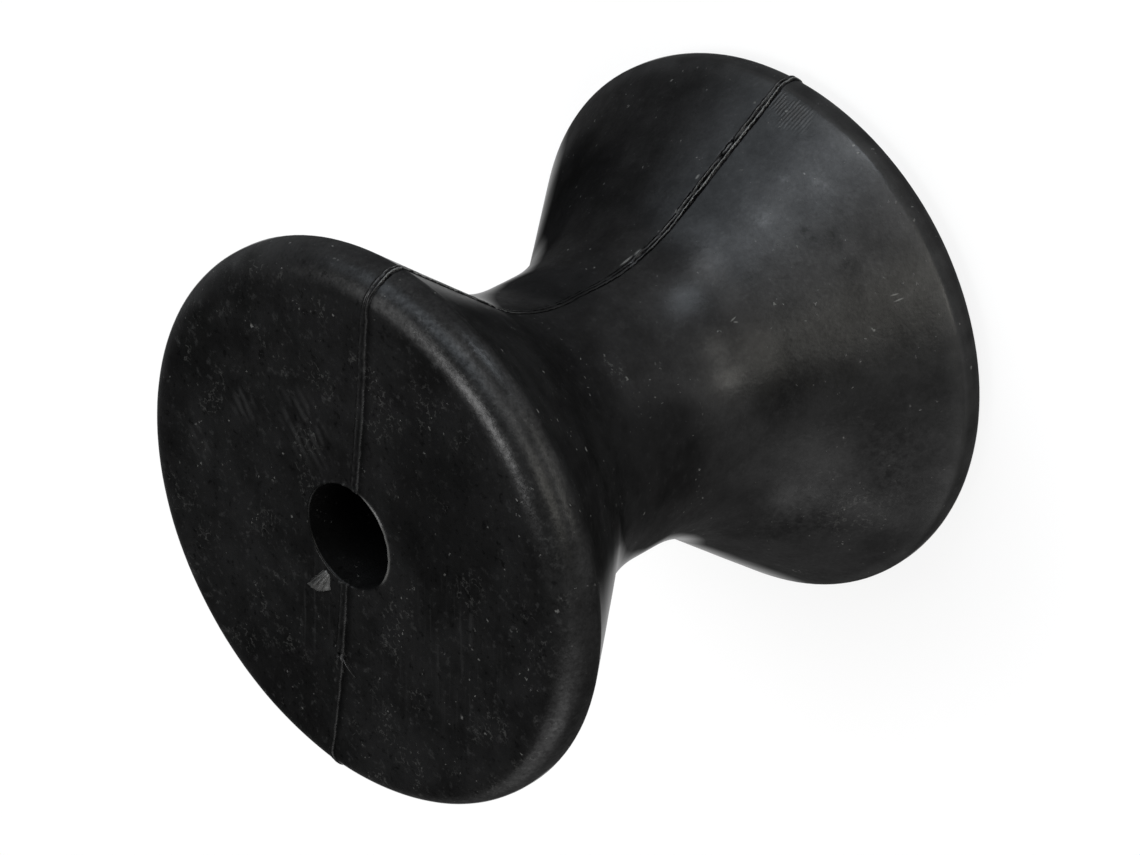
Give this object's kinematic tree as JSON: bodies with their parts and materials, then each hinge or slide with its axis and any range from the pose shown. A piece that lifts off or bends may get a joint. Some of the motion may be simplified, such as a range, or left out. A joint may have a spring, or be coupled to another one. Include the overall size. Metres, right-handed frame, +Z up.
{
  "type": "boat trailer bow roller",
  "caption": "One-piece moulded black rubber spool roller: two flared cheeks, a slim hollowed neck, a plain through-bore and a thin mould parting line.",
  "frame": {"origin": "centre of the end face the spool stands on, on the bore's axis", "axes": "+Z up along the bore, from the cheek it stands on to the other; +X in the plane of the mould's parting line"},
  "size_m": [0.0726, 0.072, 0.076],
  "materials": {
    "rubber": "satin"
  },
  "bodies": {
    "root": {"roller_body": "rubber"}
  },
  "joints": []
}
